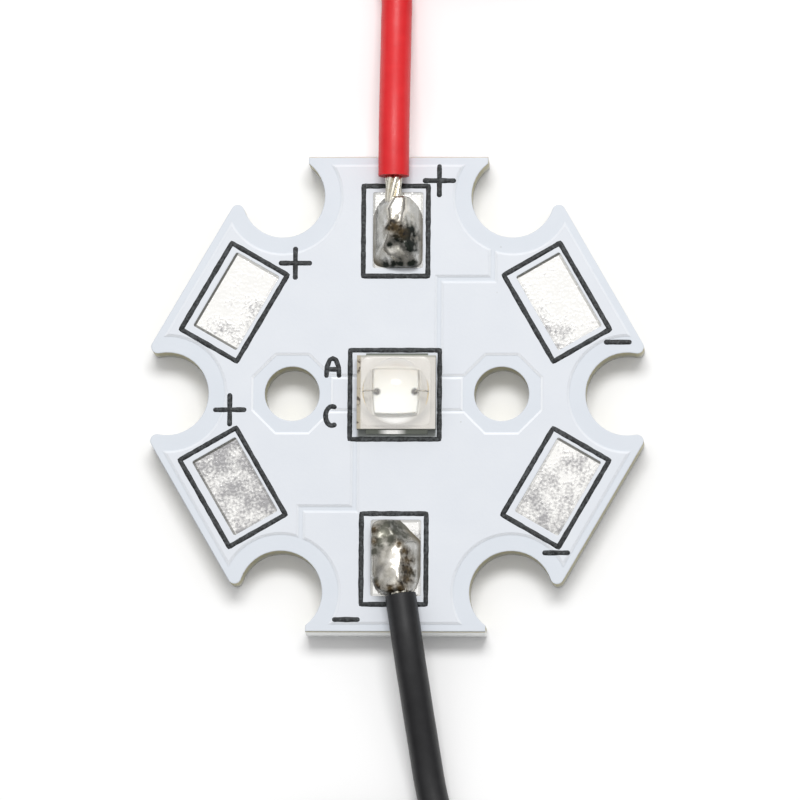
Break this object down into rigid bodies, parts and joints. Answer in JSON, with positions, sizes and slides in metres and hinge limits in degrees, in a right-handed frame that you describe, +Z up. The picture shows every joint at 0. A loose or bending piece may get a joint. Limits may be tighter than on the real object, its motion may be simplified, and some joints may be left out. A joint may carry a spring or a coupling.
{
  "type": "star pcb power led",
  "caption": "Star-shaped aluminium-core circuit board with a domed ceramic power LED at its centre, tinned solder pads, screw notches and holes, and red and black wire leads.",
  "frame": {"origin": "centre of the board's flat aluminium underside", "axes": "+Z up out of the LED, +Y towards the pad of the red lead, +X to the cathode side"},
  "size_m": [0.0219, 0.0702, 0.0039],
  "materials": {
    "aluminium": "brushed, bare",
    "dielectric": "filled epoxy",
    "copper": "etched copper foil",
    "mask": "white solder mask, satin",
    "ink": "black screen print",
    "tin": "levelled tin, mottled",
    "solder": "bright solder",
    "gold": "gold plate",
    "ceramic": "sintered ceramic",
    "chip": "pale chip",
    "silicone": "clear silicone",
    "strand": "tinned copper strands",
    "red_pvc": "glossy PVC",
    "black_pvc": "glossy PVC",
    "tie": "paper tape"
  },
  "bodies": {
    "root": {"aluminium_base": "aluminium", "dielectric_layer": "dielectric", "anode_copper": "copper", "cathode_copper": "copper", "thermal_copper": "copper", "solder_mask": "mask", "legend_frames": "ink", "anode_wire_pad": "tin", "anode_upper_pad": "tin", "anode_lower_pad": "tin", "cathode_wire_pad": "tin", "cathode_upper_pad": "tin", "cathode_lower_pad": "tin", "led_anode_solder": "solder", "led_cathode_solder": "solder", "led_thermal_solder": "solder", "led_anode_terminal": "gold", "led_cathode_terminal": "gold", "led_thermal_terminal": "gold", "led_ceramic": "ceramic", "led_chip_land": "gold", "led_anode_land": "gold", "led_cathode_land": "gold", "led_chip": "chip", "led_anode_bond_wire": "gold", "led_cathode_bond_wire": "gold", "led_lens": "silicone", "red_conductor": "strand", "red_solder_joint": "solder", "red_lead": "red_pvc", "red_lead_coil": "red_pvc", "red_coil_tie": "tie", "red_lead_tail": "red_pvc", "red_lead_tip": "strand", "black_conductor": "strand", "black_solder_joint": "solder", "black_lead": "black_pvc", "black_lead_coil": "black_pvc", "black_coil_tie": "tie", "black_lead_tail": "black_pvc", "black_lead_tip": "strand"}
  },
  "joints": []
}
